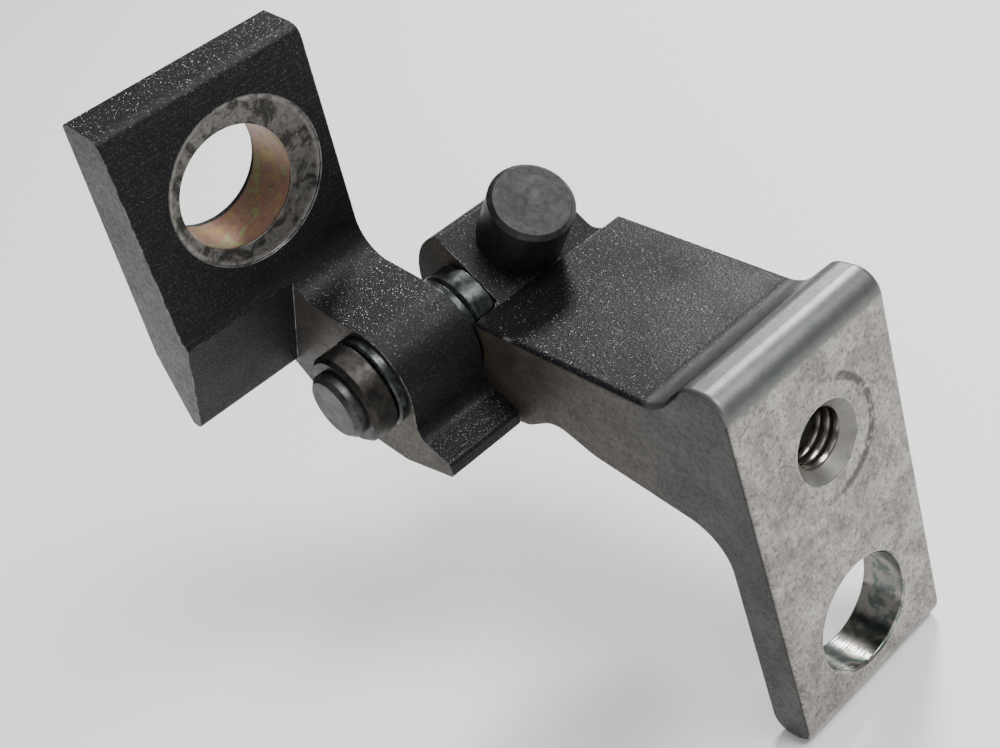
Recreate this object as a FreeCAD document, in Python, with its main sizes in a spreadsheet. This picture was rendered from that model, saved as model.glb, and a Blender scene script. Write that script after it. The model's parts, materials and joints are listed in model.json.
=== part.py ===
"""Two-leaf door hinge cut from steel profile, in millimetres.

Frame: the origin is the middle of the pillar leaf's mounting face, halfway between its two
holes. +X is the outward normal of that face, +Z runs up the face towards the arm, and the
hinge pin lies along Y with its riveted end towards -Y.
"""
import FreeCAD
import Part
import math
import os

import Sketcher
from FreeCAD import Placement, Rotation, Vector

SIZES = {
    # pin line, from the mounting face and the threaded hole
    "pin_to_face": 54.4,
    "pin_above_thread": 12.3,
    "flange_lean": 5.3,
    # pillar leaf: arm and flange
    "arm_width": 30.0,
    "arm_start": 7.2,
    "arm_top": 3.1,
    "arm_left_foot": 2.6,
    "arm_left_depth": 15.0,
    "hump_at": 13.0,
    "hump_depth": 13.6,
    "hump_radius": 3.0,
    "dip_at": 19.5,
    "dip_depth": 10.0,
    "dip_radius": 6.0,
    "belly_start": 26.5,
    "belly_depth": 12.7,
    "belly_radius": 10.0,
    "throat_depth": 16.0,
    "throat_radius": 7.0,
    "ramp_length": 13.0,
    "ramp_radius": 7.0,
    "flange_thickness": 7.0,
    "flange_top": 17.0,
    "flange_foot": 44.0,
    "ridge_width": 6.6,
    "ridge_inner_radius": 3.0,
    "ridge_outer_radius": 3.6,
    "foot_outer_radius": 3.2,
    "foot_inner_radius": 3.0,
    "flange_side_radius": 0.8,
    "step_radius": 1.8,
    # pillar leaf: holes in the flange
    "thread_radius": 4.25,
    "thread_mouth_radius": 5.9,
    "plain_radius": 8.7,
    "plain_below_thread": 30.6,
    "plain_mouth": 0.4,
    # pillar leaf: knuckle
    "knuckle_width": 19.8,
    "knuckle_radius": 11.7,
    "knuckle_foot_angle": 70.0,
    "slope_angle": 34.0,
    "crest_radius": 1.0,
    "relief_gap": 0.3,
    # stop stud
    "stud_radius": 6.4,
    "stud_height": 9.7,
    "stud_shift": 2.2,
    "stud_seat_depth": 1.4,
    "stud_seat_radius": 4.6,
    "stud_bevel": 0.7,
    "stud_dish": 0.25,
    # pin, collar and thrust washer
    "pin_radius": 4.0,
    "pin_tail": 0.8,
    "pin_tail_bevel": 0.6,
    "head_radius": 5.1,
    "head_height": 1.9,
    "head_bevel": 0.7,
    "collar_radius": 7.0,
    "collar_height": 4.3,
    "collar_bevel": 0.6,
    "washer_radius": 7.2,
    "washer_edge": 0.5,
    # bushes
    "bush_wall": 1.3,
    "bush_flange": 1.5,
    "inner_bush_radius": 7.2,
    "outer_bush_radius": 7.1,
    "bush_edge": 0.3,
    "running_gap": 0.03,
    "thrust_gap": 0.08,
    "bush_middle_gap": 1.2,
    # door leaf
    "leaf_gap": 0.6,
    "door_width": 31.6,
    "door_knuckle_length": 13.2,
    "door_lean": 10.4,
    "door_front": 15.6,
    "door_thickness": 8.6,
    "door_top": 44.6,
    "door_top_front_radius": 1.8,
    "door_top_back_radius": 1.2,
    "door_knuckle_radius": 7.8,
    "door_corner_radius": 5.4,
    "heel_thickness": 11.4,
    "heel_height": 4.0,
    "heel_top": 8.6,
    "heel_bottom": 8.4,
    "heel_inset": 6.4,
    "heel_radius": 1.5,
    "keel_depth": 15.2,
    "keel_front": 2.0,
    "keel_back": 15.0,
    "nose_reach": 13.3,
    "nose_top": 9.4,
    "nose_height": 2.4,
    "notch_reach": 7.2,
    "notch_depth": 7.4,
    "notch_radius": 2.2,
    "nose_radius": 0.8,
    "bore_height": 28.1,
    "bore_radius": 8.8,
    "spot_radius": 12.0,
    "spot_depth": 0.4,
    "spot_shift": 1.6,
    "keel_radius": 3.0,
}

doc = FreeCAD.newDocument("door_hinge")
sheet = doc.addObject("Spreadsheet::Sheet", "Sizes")


class Size:
    """A number together with the expression that gives it from the sheet."""

    def __init__(self, value, text):
        self.value = float(value)
        self.text = text

    def join(self, other, sign, value):
        return Size(value, "(%s %s %s)" % (self.text, sign, as_size(other).text))

    def __add__(self, other):
        return self.join(other, "+", self.value + as_size(other).value)

    def __sub__(self, other):
        return self.join(other, "-", self.value - as_size(other).value)

    def __mul__(self, other):
        return self.join(other, "*", self.value * as_size(other).value)

    def __truediv__(self, other):
        return self.join(other, "/", self.value / as_size(other).value)

    def __neg__(self):
        return Size(-self.value, "(0 - %s)" % self.text)


ZERO = Size(0, "0")


def as_size(number):
    if isinstance(number, Size):
        return number
    return Size(number, repr(number))


def sine(angle):
    return Size(math.sin(math.radians(angle.value)), "sin(%s * 1 deg)" % angle.text)


def cosine(angle):
    return Size(math.cos(math.radians(angle.value)), "cos(%s * 1 deg)" % angle.text)


def root(size):
    return Size(math.sqrt(size.value), "sqrt(%s)" % size.text)


def larger(first, second):
    return Size(max(first.value, second.value), "max(%s; %s)" % (first.text, second.text))


def fill_sheet():
    for row, (name, number) in enumerate(SIZES.items(), start=1):
        sheet.set("A%d" % row, name.replace("_", " "))
        sheet.set("B%d" % row, str(number))
        sheet.setAlias("B%d" % row, name)
    doc.recompute()


def size(name):
    return Size(getattr(sheet, name), "Sizes." + name)


def bind(thing, prop, number):
    thing.setExpression(prop, as_size(number).text)


def new_body(name):
    body = doc.addObject("PartDesign::Body", name)
    body.Label = name
    return body


def origin_plane(body, role):
    return [item for item in body.Origin.OriginFeatures if item.Role == role][0]


def new_sketch(body, name, role="XZ_Plane", offset=None, turn=None, shift=None):
    """Sketch on an origin plane; offset runs along its normal, turn spins it, shift slides it."""
    sketch = body.newObject("Sketcher::SketchObject", name)
    sketch.AttachmentSupport = [(origin_plane(body, role), "")]
    sketch.MapMode = "FlatFace"
    if turn is not None:
        sketch.AttachmentOffset = Placement(Vector(0, 0, 0), Rotation(Vector(0, 0, 1), turn.value))
        bind(sketch, "AttachmentOffset.Rotation.Angle", turn)
    if offset is not None:
        bind(sketch, "AttachmentOffset.Base.z", offset)
    if shift is not None:
        bind(sketch, "AttachmentOffset.Base.x", shift[0])
        bind(sketch, "AttachmentOffset.Base.y", shift[1])
    return sketch


def pin_point(sketch, geo, pos, corner):
    """Hold one point of the sketch at a corner given by two sizes."""
    for kind, number, axis in zip(("DistanceX", "DistanceY"), corner, (-2, -1)):
        if number is ZERO:
            sketch.addConstraint(Sketcher.Constraint("PointOnObject", geo, pos, axis))
            continue
        index = sketch.addConstraint(Sketcher.Constraint(kind, -1, 1, geo, pos, number.value))
        sketch.setExpression("Constraints[%d]" % index, number.text)


def vec(corner):
    return Vector(corner[0].value, corner[1].value, 0)


def outline(sketch, corners, radius=None):
    """Closed chain of straight lines; with a radius, an arc about the origin closes it anticlockwise."""
    count = len(corners) if radius is None else len(corners) - 1
    for i in range(count):
        sketch.addGeometry(Part.LineSegment(vec(corners[i]), vec(corners[(i + 1) % len(corners)])), False)
    for i in range(count if radius is None else count - 1):
        sketch.addConstraint(Sketcher.Constraint("Coincident", i, 2, (i + 1) % count, 1))
    for i in range(count):
        pin_point(sketch, i, 1, corners[i])
    if radius is not None:
        close_with_arc(sketch, corners, radius, count)


def close_with_arc(sketch, corners, radius, arc):
    """Arc about the sketch's origin from the last corner anticlockwise back to the first."""
    first = vec(corners[0])
    last = vec(corners[-1])
    start = math.atan2(last.y, last.x)
    end = math.atan2(first.y, first.x)
    if end < start:
        end += 2 * math.pi
    whole = Part.Circle(Vector(0, 0, 0), Vector(0, 0, 1), radius.value)
    sketch.addGeometry(Part.ArcOfCircle(whole, start, end), False)
    sketch.addConstraint(Sketcher.Constraint("Coincident", arc, 3, -1, 1))
    sketch.addConstraint(Sketcher.Constraint("Coincident", arc, 1, arc - 1, 2))
    sketch.addConstraint(Sketcher.Constraint("Coincident", arc, 2, 0, 1))
    index = sketch.addConstraint(Sketcher.Constraint("DistanceY", -1, 1, arc, 1, last.y))
    sketch.setExpression("Constraints[%d]" % index, corners[-1][1].text)


def circle(sketch, centre, radius):
    geo = sketch.addGeometry(Part.Circle(vec(centre), Vector(0, 0, 1), radius.value), False)
    pin_point(sketch, geo, 3, centre)
    index = sketch.addConstraint(Sketcher.Constraint("Radius", geo, radius.value))
    sketch.setExpression("Constraints[%d]" % index, radius.text)


def pad(body, sketch, name, length, middle=False):
    feature = body.newObject("PartDesign::Pad", name)
    feature.Profile = sketch
    feature.Midplane = middle
    bind(feature, "Length", length)
    doc.recompute()
    return feature


def pocket(body, sketch, name, length, reverse=False, middle=False):
    """Cut a sketch's outline and make sure that the body lost material."""
    before = body.Shape.Volume
    feature = body.newObject("PartDesign::Pocket", name)
    feature.Profile = sketch
    feature.Reversed = reverse
    feature.Midplane = middle
    bind(feature, "Length", length)
    doc.recompute()
    if not body.Shape.Volume < before - 1e-3:
        raise RuntimeError(name + " cuts nothing")
    return feature


def groove(body, sketch, name, axis="V_Axis"):
    before = body.Shape.Volume
    feature = body.newObject("PartDesign::Groove", name)
    feature.Profile = sketch
    feature.ReferenceAxis = (sketch, [axis])
    feature.Angle = 360.0
    doc.recompute()
    if not body.Shape.Volume < before - 1e-3:
        raise RuntimeError(name + " cuts nothing")
    return feature


def revolve(body, sketch, name, axis="V_Axis"):
    feature = body.newObject("PartDesign::Revolution", name)
    feature.Profile = sketch
    feature.ReferenceAxis = (sketch, [axis])
    feature.Angle = 360.0
    doc.recompute()
    return feature


def edges_along_y(shape, corner, low=-1e6, high=1e6):
    """Names of the straight edges along Y that pass the corner between two Y values."""
    spot = vec(corner)
    names = []
    for i, edge in enumerate(shape.Edges, start=1):
        ends = [vertex.Point for vertex in edge.Vertexes]
        if len(ends) < 2 or edge.Curve.TypeId != "Part::GeomLine":
            continue
        near = all(abs(p.x - spot.x) < 1e-4 and abs(p.z - spot.y) < 1e-4 for p in ends)
        if near and low < edge.CenterOfMass.y < high:
            names.append("Edge%d" % i)
    return names


def dress(body, kind, name, names, radius):
    """Round or bevel the named edges of the body as it stands."""
    if not names:
        raise RuntimeError(name + " finds no edge")
    base = body.Tip
    feature = body.newObject("PartDesign::" + kind, name)
    feature.Base = (base, names)
    bind(feature, "Radius" if kind == "Fillet" else "Size", radius)
    doc.recompute()
    return feature


def round_corner(body, name, corner, radius, low=-1e6, high=1e6):
    return dress(body, "Fillet", name, edges_along_y(body.Shape, corner, low, high), radius)


def place(body, spot, turn):
    """Put a body at a spot of the hinge frame (arm level, pin at zero), turned about the pin's direction."""
    lean = size("flange_lean")
    across = spot[0] * cosine(lean) + spot[1] * sine(lean)
    up = spot[1] * cosine(lean) - spot[0] * sine(lean)
    body.Placement = Placement(Vector(0, 0, 0), Rotation(Vector(0, 1, 0), turn.value))
    bind(body, "Placement.Rotation.Angle", turn)
    bind(body, "Placement.Base.x", across - size("pin_to_face"))
    bind(body, "Placement.Base.z", up + size("pin_above_thread") + size("plain_below_thread") / 2)


def face_point(inwards, height):
    """Corner in the arm's frame, from its depth behind the mounting face and height over the thread."""
    lean = size("flange_lean")
    along = size("pin_to_face") - inwards
    above = height - size("pin_above_thread")
    return (along * cosine(lean) - above * sine(lean), along * sine(lean) + above * cosine(lean))


def slope_distance():
    """Distance of the knuckle's sloped face from the pin's centre."""
    slope = size("slope_angle")
    return size("arm_start") * sine(slope) + size("arm_top") * cosine(slope)


def slope_point(along, above):
    """Corner in the arm's frame, from its place along the sloped face and height over that face."""
    slope = size("slope_angle")
    out = slope_distance() + above
    return (along * cosine(slope) + out * sine(slope), out * cosine(slope) - along * sine(slope))


def crest():
    """Edge where the knuckle's round back meets the sloped face."""
    reach = root(size("knuckle_radius") * size("knuckle_radius") - slope_distance() * slope_distance())
    return slope_point(-reach, ZERO)


def arm_corners():
    """Corners of the arm and flange, from the step at the knuckle round to the arm's left foot."""
    inner = face_point(size("flange_thickness"), ZERO)
    lean = size("flange_lean")
    throat = inner[0] + (inner[1] + size("throat_depth")) * sine(lean) / cosine(lean)
    return {
        "start": (size("arm_start"), size("arm_top")),
        "ramp": (size("pin_to_face") - size("ramp_length"), size("arm_top")),
        "ridge_inner": face_point(size("ridge_width"), size("flange_top")),
        "ridge_outer": face_point(ZERO, size("flange_top")),
        "foot_outer": face_point(ZERO, -size("flange_foot")),
        "foot_inner": face_point(size("flange_thickness"), -size("flange_foot")),
        "throat": (throat, -size("throat_depth")),
        "belly": (size("belly_start"), -size("belly_depth")),
        "dip": (size("dip_at"), -size("dip_depth")),
        "hump": (size("hump_at"), -size("hump_depth")),
        "left": (size("arm_left_foot"), -size("arm_left_depth")),
    }


def knuckle_corners(corners):
    """Corners of the narrow knuckle; an arc about the pin runs from the last, the crest, to the first."""
    radius = size("knuckle_radius")
    angle = size("knuckle_foot_angle")
    foot = (-radius * cosine(angle), -radius * sine(angle))
    inside = size("hump_at") - size("hump_radius")
    return [foot, corners["left"], (inside, -size("hump_depth")), (inside, size("arm_top")),
            corners["start"], crest()]


def step_edges(shape):
    """Names of the inside edges where the knuckle's two sides meet the arm's end."""
    half = size("knuckle_width").value / 2
    names = []
    for i, edge in enumerate(shape.Edges, start=1):
        ends = [vertex.Point for vertex in edge.Vertexes]
        if len(ends) == 2 and all(abs(abs(p.y) - half) < 1e-4 for p in ends):
            low, high = sorted(ends, key=lambda p: p.z)
            if abs(high.z - size("arm_top").value) < 1e-4 and abs(high.x - size("arm_start").value) < 1e-4:
                if low.z < -5:
                    names.append("Edge%d" % i)
    return names


def flange_side_edges(shape):
    """Names of the mounting face's two upright edges."""
    lean = math.radians(size("flange_lean").value)
    half = size("arm_width").value / 2
    names = []
    for i, edge in enumerate(shape.Edges, start=1):
        ends = [vertex.Point for vertex in edge.Vertexes]
        if len(ends) != 2 or edge.Length < 20:
            continue
        depth = [p.x * math.cos(lean) + p.z * math.sin(lean) - size("pin_to_face").value for p in ends]
        if all(abs(d) < 1e-4 for d in depth) and all(abs(abs(p.y) - half) < 1e-4 for p in ends):
            names.append("Edge%d" % i)
    return names


def cut_flange_hole(body, name, height, radius, mouth):
    """Round hole square to the mounting face with a conical mouth as deep as it is wide."""
    sketch = new_sketch(body, name + "_profile", turn=size("flange_lean"), shift=face_point(ZERO, height))
    deep = -(size("flange_thickness") + 1.0)
    out = size("plain_mouth")
    rim = radius + mouth
    outline(sketch, [(deep, ZERO), (deep, radius), (-mouth, radius), (ZERO, rim), (out, rim), (out, ZERO)])
    groove(body, sketch, name, axis="H_Axis")


def make_pillar_leaf():
    body = new_body("pillar_leaf")
    corners = arm_corners()
    arm = new_sketch(body, "arm_outline")
    outline(arm, list(corners.values()))
    pad(body, arm, "arm", size("arm_width"), middle=True)
    for name, radius in (("ramp", "ramp_radius"), ("ridge_inner", "ridge_inner_radius"),
                         ("ridge_outer", "ridge_outer_radius"), ("foot_outer", "foot_outer_radius"),
                         ("foot_inner", "foot_inner_radius"), ("throat", "throat_radius"),
                         ("belly", "belly_radius"), ("dip", "dip_radius"), ("hump", "hump_radius")):
        round_corner(body, "round_" + name, corners[name], size(radius))
    dress(body, "Fillet", "round_flange_sides", flange_side_edges(body.Shape), size("flange_side_radius"))
    knuckle = new_sketch(body, "knuckle_outline")
    outline(knuckle, knuckle_corners(corners), size("knuckle_radius"))
    pad(body, knuckle, "knuckle", size("knuckle_width"), middle=True)
    round_corner(body, "round_crest", crest(), size("crest_radius"))
    dress(body, "Fillet", "round_steps", step_edges(body.Shape), size("step_radius"))
    pin_hole = new_sketch(body, "pin_hole_outline")
    circle(pin_hole, (ZERO, ZERO), size("pin_radius"))
    pocket(body, pin_hole, "pin_hole", size("arm_width") * 2, middle=True)
    relief = new_sketch(body, "washer_relief_outline", offset=size("knuckle_width") / 2)
    widest = larger(size("washer_radius"), size("inner_bush_radius"))
    circle(relief, (ZERO, ZERO), widest + size("relief_gap"))
    pocket(body, relief, "washer_relief", size("arm_width"), reverse=True)
    cut_flange_hole(body, "threaded_hole", ZERO, size("thread_radius"),
                    size("thread_mouth_radius") - size("thread_radius"))
    cut_flange_hole(body, "plain_hole", -size("plain_below_thread"), size("plain_radius"),
                    size("plain_mouth"))
    seat = new_sketch(body, "stud_seat_profile", turn=-size("slope_angle"),
                      shift=slope_point(-size("stud_shift"), ZERO))
    deep = -size("stud_seat_depth")
    rim = size("stud_seat_radius")
    body_rim = size("stud_radius")
    high = size("stud_height")
    outline(seat, [(ZERO, deep), (rim, deep), (rim, ZERO), (body_rim, ZERO), (body_rim, high), (ZERO, high)])
    groove(body, seat, "stud_seat")
    place(body, (ZERO, ZERO), size("flange_lean"))
    return body


def make_stop_stud():
    body = new_body("stop_stud")
    profile = new_sketch(body, "stud_profile")
    radius = size("stud_radius")
    height = size("stud_height")
    bevel = size("stud_bevel")
    seat = size("stud_seat_radius")
    deep = -size("stud_seat_depth")
    outline(profile, [(ZERO, deep), (seat, deep), (seat, ZERO), (radius, ZERO), (radius, height - bevel),
                      (radius - bevel, height), (radius - bevel * 3, height),
                      (ZERO, height - size("stud_dish"))])
    revolve(body, profile, "stud")
    place(body, slope_point(-size("stud_shift"), ZERO), size("flange_lean") + size("slope_angle"))
    return body


def leaf_start():
    """Distance from the pillar leaf's middle plane to the door leaf, towards the riveted end."""
    return size("arm_width") / 2 + size("leaf_gap")


def knuckle_end():
    return leaf_start() + size("door_knuckle_length")


def collar_start():
    return knuckle_end() + size("bush_flange") + size("thrust_gap")


def head_start():
    return collar_start() + size("collar_height")


def turned(name, corners):
    """Body turned about the pin's line; corners are (distance towards the riveted end, radius)."""
    body = new_body(name)
    profile = new_sketch(body, name + "_profile", role="YZ_Plane")
    outline(profile, [(-along, radius) for along, radius in corners])
    revolve(body, profile, name + "_turned", axis="H_Axis")
    return body


def make_pin():
    radius = size("pin_radius")
    head = size("head_radius")
    tail = -(size("knuckle_width") / 2 + size("pin_tail"))
    bevel = size("pin_tail_bevel")
    top = head_start() + size("head_height")
    edge = size("head_bevel")
    body = turned("hinge_pin", [
        (tail, ZERO), (tail, radius - bevel), (tail + bevel, radius), (head_start(), radius),
        (head_start(), head), (top - edge, head), (top, head - edge), (top, ZERO)])
    place(body, (ZERO, ZERO), size("flange_lean"))


def make_ring(name, start, end, outer, start_bevel, end_bevel):
    """Plain ring that grips the pin."""
    bore = size("pin_radius")
    body = turned(name, [
        (start, bore), (start, outer - start_bevel), (start + start_bevel, outer),
        (end - end_bevel, outer), (end, outer - end_bevel), (end, bore)])
    place(body, (ZERO, ZERO), size("flange_lean"))


def make_bush(name, face, outwards, flange_radius):
    """Flanged bush: its sleeve runs from the door knuckle's face inwards and its flange lies outside."""
    bore = size("pin_radius") + size("running_gap")
    sleeve = bore + size("bush_wall")
    length = (size("door_knuckle_length") - size("bush_middle_gap")) / 2
    edge = size("bush_edge")
    inner = face - length * outwards
    rim = face + size("bush_flange") * outwards
    body = turned(name, [
        (inner, bore), (inner, sleeve), (face, sleeve), (face, flange_radius),
        (rim - edge * outwards, flange_radius), (rim, flange_radius - edge), (rim, bore)])
    place(body, (ZERO, ZERO), size("door_lean"))


def make_door_leaf():
    body = new_body("door_leaf")
    front = -size("door_front")
    back = front - size("door_thickness")
    top = size("door_top")
    heel = -size("heel_bottom")
    lip = front - size("heel_inset")
    corners = {"top_front": (front, top), "top_back": (back, top),
               "heel_hump": (front - size("heel_thickness"), size("heel_height")), "heel_back": (back, heel),
               "heel_front": (lip, heel), "heel_top": (front, size("heel_top"))}
    plate = new_sketch(body, "plate_outline", offset=leaf_start())
    outline(plate, list(corners.values()))
    pad(body, plate, "plate", size("door_width"))
    round_corner(body, "round_top_front", corners["top_front"], size("door_top_front_radius"))
    round_corner(body, "round_top_back", corners["top_back"], size("door_top_back_radius"))
    round_corner(body, "round_heel_front", corners["heel_front"], size("heel_radius"))
    add_door_knuckle(body, front, heel, lip)
    cut_door_holes(body)
    place(body, (ZERO, ZERO), size("door_lean"))
    return body


def tangent_point(corner, radius):
    """Where the line from a corner touches a circle about the origin, on the corner's left."""
    square = corner[0] * corner[0] + corner[1] * corner[1]
    near = radius * radius / square
    far = radius * root(square - radius * radius) / square
    return (corner[0] * near - corner[1] * far, corner[1] * near + corner[0] * far)


def add_door_knuckle(body, front, heel, lip):
    """Knuckle with its keel underneath and the square nose in front, beside the heel."""
    radius = size("door_knuckle_radius")
    notch = (size("notch_reach"), -size("notch_depth"))
    tip = (size("nose_reach"), -size("nose_top"))
    under = (size("nose_reach"), -(size("nose_top") + size("nose_height")))
    keel_front = (size("keel_front"), -size("keel_depth"))
    keel_back = (-size("keel_back"), -size("keel_depth"))
    inside = lip - size("heel_radius")
    sketch = new_sketch(body, "door_knuckle_outline", offset=leaf_start())
    shelf = size("heel_top")
    outline(sketch, [(ZERO, radius), (front, radius), (front, shelf), (inside, shelf), (inside, heel),
                     keel_back, keel_front, under, tip, notch, tangent_point(notch, radius)], radius)
    pad(body, sketch, "door_knuckle", size("door_knuckle_length"))
    low = -knuckle_end().value
    round_corner(body, "round_inside_corner", (front, radius), size("door_corner_radius"), low=low)
    round_corner(body, "round_notch", notch, size("notch_radius"))
    round_corner(body, "round_nose_top", tip, size("nose_radius"))
    round_corner(body, "round_nose_bottom", under, size("nose_radius"))
    round_corner(body, "round_keel_front", keel_front, size("keel_radius"))
    round_corner(body, "round_keel_back", keel_back, size("keel_radius"))


def cut_door_holes(body):
    """Mounting bore with its shallow off-centre spot face, and the bore for the two bushes."""
    centre = (-(leaf_start() + size("door_width") / 2), size("bore_height"))
    bore = new_sketch(body, "mount_bore_outline", role="YZ_Plane")
    circle(bore, centre, size("bore_radius"))
    pocket(body, bore, "mount_bore", size("door_front") + size("door_thickness") * 2)
    spot = new_sketch(body, "spot_face_outline", role="YZ_Plane")
    circle(spot, (centre[0] + size("spot_shift"), centre[1]), size("spot_radius"))
    pocket(body, spot, "spot_face", size("door_front") + size("spot_depth"))
    bush = new_sketch(body, "bush_bore_outline", offset=leaf_start() - size("leaf_gap"))
    circle(bush, (ZERO, ZERO), size("pin_radius") + size("running_gap") + size("bush_wall"))
    pocket(body, bush, "bush_bore", size("door_knuckle_length") + size("leaf_gap") * 2, reverse=True)


def check_all():
    for item in doc.Objects:
        if "Invalid" in item.State or "Error" in item.State:
            raise RuntimeError("%s failed: %s" % (item.Name, item.State))
    for item in doc.Objects:
        if item.TypeId == "Sketcher::SketchObject" and item.solve() != 0:
            raise RuntimeError("%s is not solved" % item.Name)


def write_all():
    bodies = [item for item in doc.Objects if item.TypeId == "PartDesign::Body"]
    for body in bodies:
        shape = body.Shape
        if shape.isNull() or not shape.isValid() or len(shape.Solids) != 1:
            raise RuntimeError(body.Label + " is not one valid solid")
    os.makedirs("parts", exist_ok=True)
    for body in bodies:
        body.Shape.exportStep("parts/%s.step" % body.Label)


fill_sheet()
make_pillar_leaf()
make_stop_stud()
make_pin()
WASHER_END = leaf_start() - size("bush_flange") - size("thrust_gap")
make_ring("thrust_washer", size("knuckle_width") / 2, WASHER_END, size("washer_radius"),
          size("washer_edge"), size("washer_edge"))
make_ring("retaining_collar", collar_start(), head_start(), size("collar_radius"),
          size("washer_edge"), size("collar_bevel"))
make_bush("inner_bush", leaf_start(), -1.0, size("inner_bush_radius"))
make_bush("outer_bush", knuckle_end(), 1.0, size("outer_bush_radius"))
make_door_leaf()
doc.recompute()
check_all()
write_all()
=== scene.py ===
"""Look of the two-leaf door hinge: coated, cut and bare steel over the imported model."""
import json
import math

import bpy
from mathutils import Matrix, Vector


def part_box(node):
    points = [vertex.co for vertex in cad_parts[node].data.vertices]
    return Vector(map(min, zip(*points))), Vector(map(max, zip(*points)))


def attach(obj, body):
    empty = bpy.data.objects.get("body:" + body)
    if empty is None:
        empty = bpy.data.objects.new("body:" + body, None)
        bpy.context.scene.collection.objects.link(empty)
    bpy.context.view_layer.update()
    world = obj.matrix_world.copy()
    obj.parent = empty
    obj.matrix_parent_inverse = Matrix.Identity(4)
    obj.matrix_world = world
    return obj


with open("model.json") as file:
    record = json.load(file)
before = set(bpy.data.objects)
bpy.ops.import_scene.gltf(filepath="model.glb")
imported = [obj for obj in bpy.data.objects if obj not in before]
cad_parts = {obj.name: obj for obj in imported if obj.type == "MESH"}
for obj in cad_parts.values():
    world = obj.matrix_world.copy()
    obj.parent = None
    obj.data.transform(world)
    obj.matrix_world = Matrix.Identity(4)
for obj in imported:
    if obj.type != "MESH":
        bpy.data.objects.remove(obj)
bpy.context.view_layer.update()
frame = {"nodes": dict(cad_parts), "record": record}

MM = 0.001
MOUNTS = {mount["name"]: mount for mount in frame["record"]["mounts"]}
JOINT = frame["record"]["behaviour"]["joints"][0]
PIN = Vector(JOINT["pos_m"])
THREAD = Vector(MOUNTS["pillar_thread"]["pos_m"])
PASS_HOLE = Vector(MOUNTS["pillar_pass_hole"]["pos_m"])
DOOR_BORE = Vector(MOUNTS["door_bore"]["pos_m"])
DOOR_AXIS = Vector(MOUNTS["door_bore"]["axis"])
PILLAR = [Vector(corner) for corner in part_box("pillar_leaf")]
DOOR = [Vector(corner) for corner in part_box("door_leaf")]
STUD = [Vector(corner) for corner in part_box("stop_stud")]
STUD_TILT = math.radians(39.3)
STUD_AXIS = Vector((math.sin(STUD_TILT), 0.0, math.cos(STUD_TILT)))
FACE_AXIS = (1, 0, 0)
PIN_AXIS = (0, 1, 0)
EDGE_ROUNDING = 0.22 * MM
WORN_RIM = 0.32 * MM
FLAKE = 0.14 * MM
# heights and depths on the pillar leaf, and radii round its holes
RIDGE_TOP = THREAD.z + 17.0 * MM
FLANGE_DEPTH = 7.6 * MM
THREAD_MOUTH = 5.95 * MM
THREAD_WALL = 6.1 * MM
PASS_WALL = 9.05 * MM
CHIP = PIN + Vector((14.4, 5.0, 1.8)) * MM
# worn spot face of the door leaf: it lies off the bore's centre
SPOT_CENTRE = DOOR_BORE + Vector((0, 1.6 * MM, 0))
SPOT_RADIUS = 12.0 * MM
BORE_RADIUS = MOUNTS["door_bore"]["dims"]["r_mm"] * MM
# thread crests
THREAD_PITCH = 1.5 * MM
CREST_DEPTH = 0.42 * MM
CREST_GAP = 0.01 * MM
THREAD_ENDS = 0.4 * MM
# camera and floor, in metres
EYE = Vector((0.10346, -0.10173, 0.13248))
LOOK = Vector((-0.7262, 0.4239, -0.5413))
EYE_UP = (-0.2634, 0.5557, 0.7885)
FLOOR_SIZE = 6.0
FLOOR_DROP = 0.0002


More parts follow.
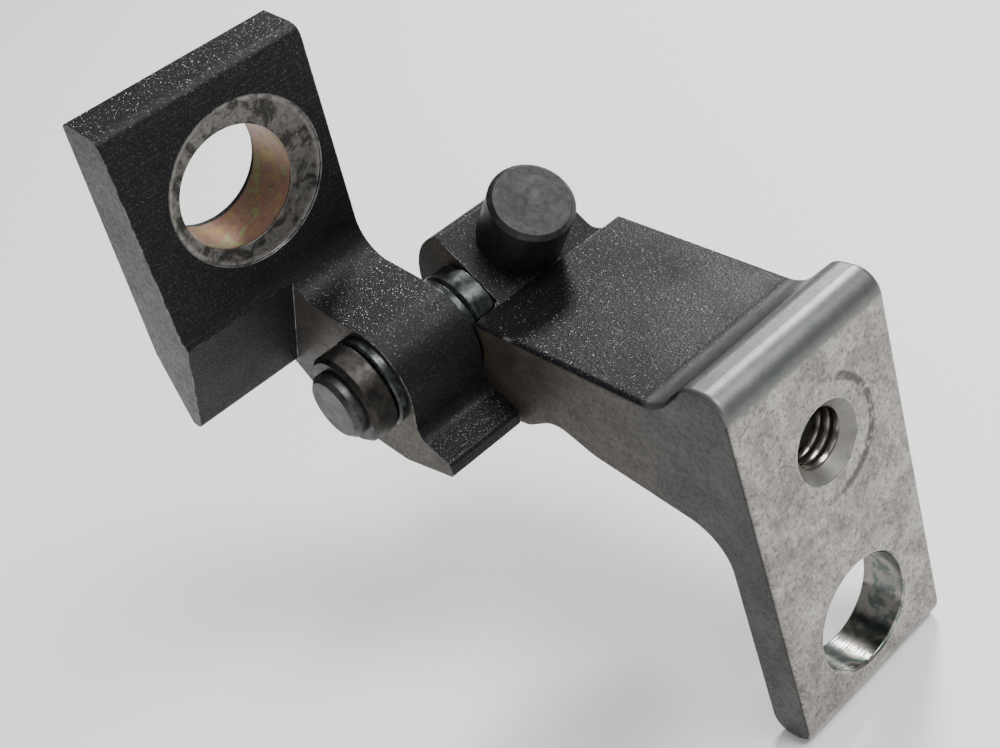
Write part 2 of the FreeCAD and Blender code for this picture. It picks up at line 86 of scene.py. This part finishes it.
class Net:
    """One node material; every helper returns an output socket or takes sockets and numbers."""

    def __init__(self, name):
        self.mat = bpy.data.materials.new(name)
        self.mat.use_nodes = True
        self.tree = self.mat.node_tree
        self.tree.nodes.clear()
        self.out = self.add("ShaderNodeOutputMaterial")
        coords = self.add("ShaderNodeTexCoord")
        self.spot = coords.outputs["Object"]
        self.normal = coords.outputs["Normal"]

    def add(self, kind, **settings):
        node = self.tree.nodes.new(kind)
        for key, value in settings.items():
            setattr(node, key, value)
        return node

    def put(self, socket, value):
        if isinstance(value, bpy.types.NodeSocket):
            self.tree.links.new(value, socket)
            return
        if hasattr(socket, "default_value") and isinstance(value, (tuple, list, Vector)):
            value = tuple(value)
            if socket.type == "RGBA" and len(value) == 3:
                value = value + (1.0,)
        socket.default_value = value

    def math(self, how, a, b=0.0):
        node = self.add("ShaderNodeMath", operation=how)
        for socket, value in zip(node.inputs, (a, b)):
            self.put(socket, value)
        return node.outputs[0]

    def mul(self, *values):
        result = values[0]
        for value in values[1:]:
            result = self.math("MULTIPLY", result, value)
        return result

    def invert(self, value):
        return self.math("SUBTRACT", 1.0, value)

    def vmath(self, how, a, b=(0, 0, 0), scale=None):
        node = self.add("ShaderNodeVectorMath", operation=how)
        self.put(node.inputs[0], a)
        self.put(node.inputs[1], b)
        if scale is not None:
            self.put(node.inputs["Scale"], scale)
        return node.outputs["Value" if how in ("DOT_PRODUCT", "LENGTH") else 0]

    def split(self, vector):
        node = self.add("ShaderNodeSeparateXYZ")
        self.put(node.inputs[0], vector)
        return node.outputs

    def step(self, value, low, high, to_low=0.0, to_high=1.0):
        """Smooth step from to_low at low to to_high at high."""
        node = self.add("ShaderNodeMapRange", interpolation_type="SMOOTHSTEP", clamp=True)
        for socket, number in zip(node.inputs, (value, low, high, to_low, to_high)):
            self.put(socket, number)
        return node.outputs[0]

    def mix(self, factor, a, b):
        node = self.add("ShaderNodeMix", data_type="RGBA")
        self.put(node.inputs["Factor"], factor)
        self.put(node.inputs[6], a)
        self.put(node.inputs[7], b)
        return node.outputs[2]

    def noise(self, size, detail=4.0, rough=0.55, stretch=None, warp=0.0, seed=0.0):
        """Noise whose largest features are about size metres across; stretch scales the axes."""
        node = self.add("ShaderNodeTexNoise", noise_dimensions="3D")
        spot = self.spot
        if stretch is not None:
            spot = self.vmath("MULTIPLY", spot, stretch)
        spot = self.vmath("ADD", spot, (seed, seed * 0.37, -seed * 0.71))
        self.put(node.inputs["Vector"], spot)
        self.put(node.inputs["Scale"], 1.0 / size)
        self.put(node.inputs["Detail"], detail)
        self.put(node.inputs["Roughness"], rough)
        self.put(node.inputs["Distortion"], warp)
        return node.outputs["Fac"]

    def cells(self, size, out="Distance", seed=0.0):
        node = self.add("ShaderNodeTexVoronoi")
        self.put(node.inputs["Vector"], self.vmath("ADD", self.spot, (seed, -seed, seed * 0.3)))
        self.put(node.inputs["Scale"], 1.0 / size)
        return node.outputs[out]

    def bevel(self, radius):
        node = self.add("ShaderNodeBevel", samples=6)
        self.put(node.inputs["Radius"], radius)
        return node.outputs[0]

    def edge(self, radius, low=0.02, high=0.22):
        """Mask of the corners and edges within radius, made of how far a rounded normal turns."""
        true_normal = self.add("ShaderNodeNewGeometry").outputs["Normal"]
        turned = self.vmath("DOT_PRODUCT", self.bevel(radius), true_normal)
        return self.step(self.invert(turned), low, high)

    def bump(self, height, depth, normal=None):
        node = self.add("ShaderNodeBump")
        self.put(node.inputs["Height"], height)
        self.put(node.inputs["Distance"], depth)
        if normal is not None:
            self.put(node.inputs["Normal"], normal)
        return node.outputs[0]

    def shader(self, colour, metal, rough, normal=None, specular=0.5):
        node = self.add("ShaderNodeBsdfPrincipled")
        self.put(node.inputs["Base Color"], colour)
        self.put(node.inputs["Metallic"], metal)
        self.put(node.inputs["Roughness"], rough)
        self.put(node.inputs["Specular IOR Level"], specular)
        if normal is not None:
            self.put(node.inputs["Normal"], normal)
        return node.outputs[0]

    def shader_mix(self, factor, a, b):
        node = self.add("ShaderNodeMixShader")
        self.put(node.inputs[0], factor)
        self.put(node.inputs[1], a)
        self.put(node.inputs[2], b)
        return node.outputs[0]

    def finish(self, shader):
        self.put(self.out.inputs["Surface"], shader)
        return self.mat

    def radius_about(self, centre, axis):
        """Distance from a line through centre along axis."""
        rel = self.vmath("SUBTRACT", self.spot, centre)
        along = self.vmath("DOT_PRODUCT", rel, axis)
        square = self.math("SUBTRACT", self.vmath("DOT_PRODUCT", rel, rel), self.mul(along, along))
        return self.math("SQRT", self.math("MAXIMUM", square, 0.0))

    def facing(self, axis):
        return self.vmath("DOT_PRODUCT", self.normal, axis)


def coating(net, seed, rounded):
    """Dark, fine-grained coat: violet-black, with small bright flakes and a soft orange peel."""
    broad = net.noise(9 * MM, 3, 0.5, seed=seed)
    fine = net.noise(0.55 * MM, 3, 0.6, seed=seed + 2)
    colour = net.mix(broad, (0.0030, 0.0025, 0.0034), (0.0062, 0.0056, 0.0070))
    colour = net.mix(net.mul(fine, 0.5), colour, (0.010, 0.0095, 0.011))
    peel = net.noise(0.42 * MM, 2, 0.5, seed=seed + 5)
    grain = net.noise(0.16 * MM, 2, 0.6, seed=seed + 7)
    normal = net.bump(net.math("ADD", peel, net.mul(grain, 0.35)), 0.05 * MM, rounded)
    rough = net.step(broad, 0.3, 0.75, 0.42, 0.56)
    base = net.shader(colour, 0.0, rough, normal, specular=0.15)
    # each cell of the pattern is a flake with its own tilt and colour
    cell = net.cells(FLAKE, out="Color", seed=seed)
    picks = net.split(cell)
    tilt = net.vmath("SCALE", net.vmath("SUBTRACT", cell, (0.5, 0.5, 0.5)), scale=0.9)
    flake_normal = net.vmath("NORMALIZE", net.vmath("ADD", normal, tilt))
    flake_colour = net.mix(picks[1], (0.20, 0.27, 0.28), (0.36, 0.36, 0.38))
    flake = net.shader(flake_colour, 1.0, 0.30, flake_normal)
    inside = net.step(net.cells(FLAKE, seed=seed), 0.62, 0.30)
    chosen = net.mul(net.step(picks[0], 0.70, 0.84), inside)
    return net.shader_mix(net.mul(chosen, 0.19), base, flake)


def rubbed_steel(net, rounded):
    return net.shader((0.42, 0.41, 0.40), 0.9, 0.34, rounded)


def worn_rims(net, seed):
    """Mask of the edges where the coat has worn away in patches."""
    patches = net.step(net.noise(1.6 * MM, 4, 0.65, seed=seed), 0.42, 0.62)
    return net.mul(net.edge(WORN_RIM), patches)


def sawn_sides(net, normal):
    """Mask of the two sides where the profile was sawn through."""
    return net.step(net.math("ABSOLUTE", normal[1]), 0.90, 0.985)


def cut_face(net, seed, rounded, tint=0.0):
    """Sawn and coated end face: brown-grey, dull, with faint parallel saw marks and small pits."""
    patch = net.noise(7 * MM, 4, 0.55, warp=0.6, seed=seed)
    speck = net.noise(0.6 * MM, 4, 0.65, seed=seed + 3)
    saw = net.noise(1.4 * MM, 3, 0.6, stretch=(0.16, 1.0, 1.0), seed=seed + 6)
    warm = net.mix(net.step(patch, 0.35, 0.68), (0.034, 0.026, 0.018), (0.064, 0.053, 0.042))
    cool = net.mix(net.step(patch, 0.35, 0.68), (0.040, 0.040, 0.041), (0.068, 0.065, 0.061))
    colour = net.mix(tint, warm, cool)
    colour = net.mix(net.step(speck, 0.52, 0.74, 0.0, 0.45), colour, (0.020, 0.017, 0.014))
    colour = net.mix(net.step(saw, 0.55, 0.8, 0.0, 0.22), colour, (0.16, 0.14, 0.12))
    height = net.math("ADD", net.mul(speck, 0.8), net.mul(saw, 0.6))
    normal = net.bump(height, 0.05 * MM, rounded)
    rough = net.step(speck, 0.3, 0.75, 0.40, 0.62)
    return net.shader(colour, 0.35, rough, normal, specular=0.35)


def bare_steel(net, seed, rounded):
    """Bare rolled steel: warm grey, clouded, with fine scratches, dark flecks and rubbed spots."""
    cloud = net.noise(6 * MM, 5, 0.6, warp=0.8, seed=seed)
    fleck = net.noise(0.55 * MM, 5, 0.72, seed=seed + 1)
    blot = net.noise(2.4 * MM, 4, 0.6, warp=1.2, seed=seed + 2)
    colour = net.mix(net.step(cloud, 0.3, 0.7), (0.22, 0.205, 0.185), (0.35, 0.335, 0.31))
    colour = net.mix(net.step(blot, 0.54, 0.70, 0.0, 0.7), colour, (0.17, 0.15, 0.135))
    colour = net.mix(net.step(fleck, 0.50, 0.64, 0.0, 0.8), colour, (0.085, 0.072, 0.064))
    colour = net.mix(net.step(fleck, 0.42, 0.32, 0.0, 0.6), colour, (0.62, 0.61, 0.58))
    height = net.math("ADD", net.mul(fleck, 0.7), net.mul(blot, 0.5))
    for stretch, offset in (((1.0, 0.12, 1.0), 11), ((1.0, 0.8, 0.10), 17)):
        line = net.noise(0.5 * MM, 2, 0.5, stretch=stretch, seed=seed + offset)
        colour = net.mix(net.step(line, 0.64, 0.76, 0.0, 0.18), colour, (0.58, 0.57, 0.54))
        height = net.math("ADD", height, net.mul(line, 0.5))
    normal = net.bump(height, 0.035 * MM, rounded)
    rough = net.step(cloud, 0.3, 0.7, 0.52, 0.36)
    return colour, 0.9, rough, normal


def turned_metal(name, dark, light, axis, centre, rough=(0.28, 0.42), metal=0.9, pitch=0.35):
    """Turned steel with fine rings about an axis, small spots and a painted highlight along its edges.
    """
    net = Net(name)
    rounded = net.bevel(0.15 * MM)
    radius = net.radius_about(centre, axis)
    wobble = net.noise(3 * MM, 3, 0.5, seed=4.0)
    phase = net.math("ADD", net.mul(radius, 2 * math.pi / (pitch * MM)), net.mul(wobble, 3.0))
    rings = net.math("SINE", phase)
    spots = net.noise(1.1 * MM, 4, 0.6, seed=9.0)
    colour = net.mix(net.step(spots, 0.3, 0.72), dark, light)
    colour = net.mix(net.step(rings, -1.0, 1.0, 0.0, 0.12), colour, light)
    # painted highlight: the edges within 0.3 mm are lightened towards 2.6 times the light tone
    colour = net.mix(net.mul(net.edge(0.3 * MM), 0.55), colour, tuple(min(1.0, c * 2.6) for c in light))
    height = net.math("ADD", net.mul(rings, 0.15), spots)
    normal = net.bump(height, 0.02 * MM, rounded)
    return net.finish(net.shader(colour, metal, net.step(wobble, 0.3, 0.7, *rough), normal))


def helix_ridge(name, centre, radius, depth, pitch, length, steps=36):
    """Thin V-shaped ridge winding inside a hole along +X: the crests of the thread."""
    count = int(length / pitch * steps)
    run_out = 14
    foot = 0.42
    crest = 0.07
    verts = []
    faces = []
    for i in range(count + 1):
        angle = 2 * math.pi * i / steps
        along = -length / 2 + length * i / count
        top = radius - depth * min(1.0, i / run_out, (count - i) / run_out)
        for reach, offset in ((radius, -foot), (top, -crest), (top, crest), (radius, foot)):
            verts.append((centre[0] + along + offset * pitch, centre[1] + reach * math.cos(angle),
                          centre[2] + reach * math.sin(angle)))
        if i:
            for k in range(4 * i, 4 * i + 3):
                faces.append((k - 4, k - 3, k + 1, k))
    mesh = bpy.data.meshes.new(name)
    mesh.from_pydata(verts, [], faces)
    for poly in mesh.polygons:
        poly.use_smooth = True
    mesh.update()
    piece = bpy.data.objects.new(name, mesh)
    bpy.context.scene.collection.objects.link(piece)
    return piece


def scratched_top(net, look, normal, ragged, rubbed):
    """Faint scratches on the flat top; also gives the mask of the chip on its near edge."""
    lines = net.noise(0.30 * MM, 2, 0.5, stretch=(0.035, 0.6, 1.0), seed=35.0)
    scratch = net.mul(net.step(lines, 0.70, 0.80), net.step(normal[2], 0.9, 0.97), 0.10)
    look = net.shader_mix(scratch, look, rubbed)
    rel = net.vmath("MULTIPLY", net.vmath("SUBTRACT", net.spot, CHIP), (0.28, 1.0, 1.0))
    ragged_edge = net.mul(net.math("SUBTRACT", ragged, 0.5), 0.9 * MM)
    reach = net.math("ADD", net.vmath("LENGTH", rel), ragged_edge)
    chip = net.step(reach, 0.62 * MM, 0.40 * MM)
    return net.shader_mix(chip, look, rubbed), chip


def mounting_face(net, rounded, place):
    """Bare mounting face, with the marks a washer left round the threaded hole and a painted highlight
    along its edges.
    """
    colour, metal, rough, bumped = bare_steel(net, 51.0, rounded)
    ring = net.radius_about(THREAD, FACE_AXIS)
    side = net.step(net.math("SUBTRACT", place[1], THREAD.y), -3.0 * MM, 3.5 * MM, 0.15, 1.0)
    mark = net.mul(side, net.step(ring, 7.9 * MM, 8.5 * MM), net.step(ring, 9.7 * MM, 9.1 * MM),
                   net.step(net.noise(2.2 * MM, 4, 0.65, seed=63.0), 0.38, 0.52))
    colour = net.mix(net.mul(mark, 0.85), colour, (0.045, 0.040, 0.038))
    smear = net.mul(net.step(ring, 8 * MM, 12 * MM), net.step(ring, 17 * MM, 12 * MM),
                    net.step(net.noise(4.0 * MM, 5, 0.65, seed=67.0), 0.50, 0.66))
    colour = net.mix(net.mul(smear, 0.6), colour, (0.11, 0.10, 0.092))
    # painted highlight: the edges within 0.35 mm are lightened towards near-white
    colour = net.mix(net.mul(net.edge(0.35 * MM), 0.7), colour, (0.75, 0.74, 0.72))
    return net.shader(colour, metal, rough, bumped)


def ridge_wear_and_highlight(net, look, rounded, normal, place, ragged, flat):
    """The bend above the face, painted a lighter green-grey: rubbed coat with a painted highlight on
    it; and the polished strip behind it.
    """
    wander = net.mul(net.math("SUBTRACT", ragged, 0.5), 1.6 * MM)
    height = net.math("ADD", place[2], wander)
    # painted highlight: the band along the bend gets a lighter green-grey metal colour, partly rubbed
    # coat and partly painted highlight
    bend_highlight = net.shader(net.mix(ragged, (0.075, 0.084, 0.078), (0.18, 0.185, 0.175)), 0.85, 0.42,
                       net.bump(net.noise(0.5 * MM, 3, 0.6, seed=71.0), 0.02 * MM, rounded))
    bend = net.mul(net.step(place[0], -8.5 * MM, -6.5 * MM),
                   net.step(height, RIDGE_TOP - 4.2 * MM, RIDGE_TOP - 3.0 * MM), flat)
    look = net.shader_mix(bend, look, bend_highlight)
    brushed = net.noise(0.5 * MM, 3, 0.6, stretch=(1, 0.1, 1), seed=77.0)
    polish = net.shader(net.mix(ragged, (0.085, 0.083, 0.083), (0.26, 0.252, 0.245)), 0.9, 0.40,
                        net.bump(brushed, 0.02 * MM, rounded))
    strip = net.mul(net.step(place[0], -15.5 * MM, -14.0 * MM),
                    net.step(place[0], -9.0 * MM, -10.5 * MM), net.step(normal[2], 0.30, 0.6), flat)
    return net.shader_mix(net.mul(strip, 0.8), look, polish)


def flange_holes(net, look, rounded, place, ragged):
    """Machined walls of the flange's two holes and the dull mouth of the threaded one."""
    tone = net.step(net.noise(2.5 * MM, 3, 0.5, warp=1.0, seed=81.0), 0.38, 0.60)
    tooled = net.noise(0.9 * MM, 2, 0.5, stretch=(3.0, 0.3, 0.3), seed=83.0)
    wall = net.shader(net.mix(tone, (0.13, 0.16, 0.145), (0.34, 0.32, 0.29)), 1.0, 0.22,
                      net.bump(tooled, 0.03 * MM, rounded))
    for hole, radius in ((THREAD, THREAD_WALL), (PASS_HOLE, PASS_WALL)):
        inside = net.mul(net.step(net.radius_about(hole, FACE_AXIS), radius, radius - 0.1 * MM),
                         net.step(place[0], -FLANGE_DEPTH, 0.4 * MM - FLANGE_DEPTH))
        look = net.shader_mix(inside, look, wall)
    dull = net.shader(net.mix(ragged, (0.13, 0.125, 0.115), (0.27, 0.26, 0.24)), 0.85, 0.45, rounded)
    reach = net.radius_about(THREAD, FACE_AXIS)
    mouth = net.mul(net.step(reach, THREAD_MOUTH, THREAD_MOUTH - 0.1 * MM),
                    net.step(place[0], -0.02 * MM, -0.10 * MM))
    return net.shader_mix(mouth, look, dull)


def pillar_material():
    net = Net("pillar leaf steel")
    rounded = net.bevel(EDGE_ROUNDING)
    normal = net.split(net.normal)
    place = net.split(net.spot)
    ragged = net.noise(2.2 * MM, 4, 0.65, warp=0.8, seed=31.0)
    rubbed = rubbed_steel(net, rounded)
    wear = worn_rims(net, 23.0)
    look = net.shader_mix(net.mul(wear, 0.75), coating(net, 3.0, rounded), rubbed)
    look, chip = scratched_top(net, look, normal, ragged, rubbed)
    # sawn sides, warmer near the knuckle and bluer near the flange
    tint = net.step(place[0], -30 * MM, -6 * MM)
    side = net.shader_mix(net.mul(wear, 0.5), cut_face(net, 41.0, rounded, tint), rubbed)
    sawn = sawn_sides(net, normal)
    look = net.shader_mix(net.mul(sawn, net.invert(chip)), look, side)
    flat = net.invert(sawn)
    front = net.mul(net.step(place[0], -1.6 * MM, -0.4 * MM), net.step(normal[0], 0.30, 0.72), flat)
    look = net.shader_mix(front, look, mounting_face(net, rounded, place))
    look = ridge_wear_and_highlight(net, look, rounded, normal, place, ragged, flat)
    return net.finish(flange_holes(net, look, rounded, place, ragged))


def spot_face(net, rounded, ring):
    """Worn steel of the spot face, with dark patches and a burred rim."""
    colour, metal, rough, bumped = bare_steel(net, 91.0, rounded)
    dark = net.step(net.noise(3.6 * MM, 5, 0.62, warp=1.0, seed=93.0), 0.46, 0.60)
    worn = net.mix(0.5, colour, (0.10, 0.096, 0.090))
    colour = net.mix(net.mul(dark, 0.8), worn, (0.022, 0.021, 0.020))
    burr = net.step(net.noise(1.3 * MM, 4, 0.65, seed=97.0), 0.36, 0.55)
    rim = net.mul(net.step(ring, SPOT_RADIUS - 0.8 * MM, SPOT_RADIUS - 0.3 * MM), burr)
    colour = net.mix(net.mul(rim, 0.7), colour, (0.40, 0.385, 0.36))
    return net.shader(colour, metal, rough, bumped)


def plated_bore(net, rounded):
    """Yellow zinc with a shift of hue and dark pits."""
    shift = net.noise(4.5 * MM, 3, 0.5, warp=1.5, seed=103.0)
    hue = net.mix(net.step(shift, 0.36, 0.52), (0.24, 0.165, 0.070), (0.215, 0.115, 0.085))
    hue = net.mix(net.step(shift, 0.54, 0.66), hue, (0.20, 0.205, 0.09))
    pits = net.step(net.noise(0.9 * MM, 4, 0.6, seed=107.0), 0.60, 0.66)
    hue = net.mix(net.mul(pits, 0.75), hue, (0.10, 0.07, 0.05))
    grain = net.noise(0.8 * MM, 3, 0.6, seed=109.0)
    return net.shader(hue, 0.75, 0.40, net.bump(grain, 0.04 * MM, rounded))


def door_material():
    net = Net("door leaf steel")
    rounded = net.bevel(EDGE_ROUNDING)
    normal = net.split(net.normal)
    rubbed = rubbed_steel(net, rounded)
    wear = worn_rims(net, 27.0)
    look = net.shader_mix(net.mul(wear, 0.7), coating(net, 7.0, rounded), rubbed)
    # sawn sides, warmer near the pin
    cool = net.step(net.vmath("LENGTH", net.vmath("SUBTRACT", net.spot, PIN)), 14 * MM, 26 * MM)
    side = net.shader_mix(net.mul(wear, 0.5), cut_face(net, 47.0, rounded, cool), rubbed)
    look = net.shader_mix(sawn_sides(net, normal), look, side)
    ring = net.radius_about(SPOT_CENTRE, DOOR_AXIS)
    front = net.mul(net.step(net.facing(DOOR_AXIS), 0.80, 0.95),
                    net.step(ring, SPOT_RADIUS + 0.25 * MM, SPOT_RADIUS))
    look = net.shader_mix(front, look, spot_face(net, rounded, ring))
    bore = net.radius_about(DOOR_BORE, DOOR_AXIS)
    along = net.vmath("DOT_PRODUCT", net.vmath("SUBTRACT", net.spot, DOOR_BORE), DOOR_AXIS)
    inside = net.mul(net.step(bore, BORE_RADIUS + 0.18 * MM, BORE_RADIUS + 0.06 * MM),
                     net.step(net.math("ABSOLUTE", along), 4.6 * MM, 4.2 * MM))
    return net.finish(net.shader_mix(inside, look, plated_bore(net, rounded)))


def dress_parts():
    pin = turned_metal("pin steel", (0.035, 0.036, 0.036), (0.075, 0.077, 0.077), PIN_AXIS, PIN,
                       rough=(0.38, 0.5))
    collar = turned_metal("collar steel", (0.014, 0.013, 0.012), (0.042, 0.038, 0.034), PIN_AXIS, PIN,
                          rough=(0.36, 0.5))
    ring = turned_metal("ring steel", (0.020, 0.022, 0.022), (0.062, 0.068, 0.068), PIN_AXIS, PIN,
                        rough=(0.20, 0.32))
    stud = turned_metal("stud steel", (0.012, 0.012, 0.0115), (0.036, 0.035, 0.033), STUD_AXIS,
                        (STUD[0] + STUD[1]) / 2, rough=(0.40, 0.55), metal=0.6, pitch=0.42)
    looks = {"pillar_leaf": pillar_material(), "door_leaf": door_material(), "hinge_pin": pin,
             "retaining_collar": collar, "thrust_washer": ring, "inner_bush": ring,
             "outer_bush": ring, "stop_stud": stud}
    for node, material in looks.items():
        materials = frame["nodes"][node].data.materials
        materials.clear()
        materials.append(material)


def add_thread():
    net = Net("thread steel")
    tone = net.noise(1.2 * MM, 4, 0.6, seed=5.0)
    colour = net.mix(tone, (0.05, 0.042, 0.034), (0.34, 0.32, 0.29))
    steel = net.finish(net.shader(colour, 1.0, 0.22, net.bump(tone, 0.02 * MM)))
    hole = MOUNTS["pillar_thread"]["dims"]
    piece = helix_ridge("thread_crests", THREAD, hole["r_mm"] * MM + CREST_GAP, CREST_DEPTH,
                        THREAD_PITCH, hole["length_mm"] * MM - THREAD_ENDS)
    piece.data.materials.append(steel)
    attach(piece, "pillar_side")


def add_floor():
    net = Net("pale floor")
    pale = net.finish(net.shader((0.92, 0.92, 0.915), 0.0, 0.6))
    low = min(PILLAR[0].z, DOOR[0].z)
    bpy.ops.mesh.primitive_plane_add(size=FLOOR_SIZE, location=(-0.03, -0.01, low - FLOOR_DROP))
    floor = bpy.context.object
    floor.name = "floor"
    floor.data.materials.append(pale)


def look_matrix(place, target, up):
    """World matrix of something at place whose -Z looks to target with its +Y near up."""
    back = (Vector(place) - Vector(target)).normalized()
    right = Vector(up).cross(back).normalized()
    turned = Matrix((right, back.cross(right), back)).transposed()
    return Matrix.Translation(place) @ turned.to_4x4()


def add_light(name, direction, distance, size, power):
    data = bpy.data.lights.new(name, "AREA")
    data.shape = "DISK"
    data.size = size
    data.energy = power
    lamp = bpy.data.objects.new(name, data)
    target = (PILLAR[0] + PILLAR[1]) / 2
    place = target + Vector(direction).normalized() * distance
    lamp.matrix_world = look_matrix(place, target, (0, 1, 0.1))
    bpy.context.scene.collection.objects.link(lamp)


def light_scene():
    add_light("key", (-0.35, 0.62, 0.70), 1.0, 0.22, 10.0)
    add_light("top", (0.46, 0.20, 0.86), 1.1, 0.5, 12.0)
    add_light("fill", (0.85, -0.45, 0.55), 1.2, 0.9, 3.0)
    world = bpy.data.worlds.new("studio")
    bpy.context.scene.world = world
    world.use_nodes = True
    back = world.node_tree.nodes["Background"]
    back.inputs["Color"].default_value = (0.86, 0.87, 0.88, 1)
    back.inputs["Strength"].default_value = 0.42


def add_camera():
    data = bpy.data.cameras.new("view")
    data.sensor_width = 36.0
    data.lens = 52.0
    data.clip_start = 0.01
    camera = bpy.data.objects.new("view", data)
    camera.matrix_world = look_matrix(EYE, EYE + LOOK, EYE_UP)
    bpy.context.scene.collection.objects.link(camera)
    bpy.context.scene.camera = camera


dress_parts()
add_thread()
add_floor()
light_scene()
add_camera()
bpy.context.view_layer.update()
